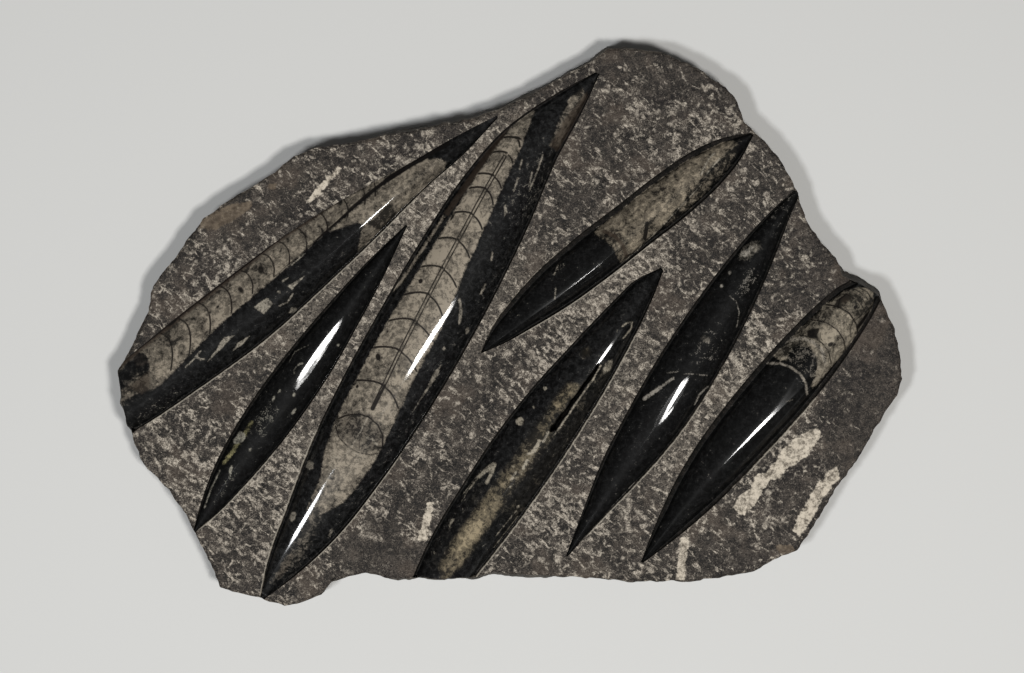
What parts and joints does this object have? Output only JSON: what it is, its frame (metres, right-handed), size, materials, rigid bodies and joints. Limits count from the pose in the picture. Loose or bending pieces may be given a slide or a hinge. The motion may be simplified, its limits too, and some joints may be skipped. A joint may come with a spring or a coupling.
{
  "type": "polished orthoceras fossil plate",
  "caption": "Irregular slab of dark fossil limestone with straight cephalopod shells carved in relief as polished spindles; lies on its sawn back.",
  "frame": {"origin": "centre of the sawn back, in the plane it rests on", "axes": "+X along the plate's length, towards the end with the short round shell; +Y across it, towards the peaked edge; +Z out of the carved face"},
  "size_m": [0.3622, 0.259, 0.032],
  "materials": {
    "fossil_limestone": "pecked matrix with polished black and grey shells"
  },
  "bodies": {
    "root": {"fossil_slab": "fossil_limestone"}
  },
  "joints": []
}
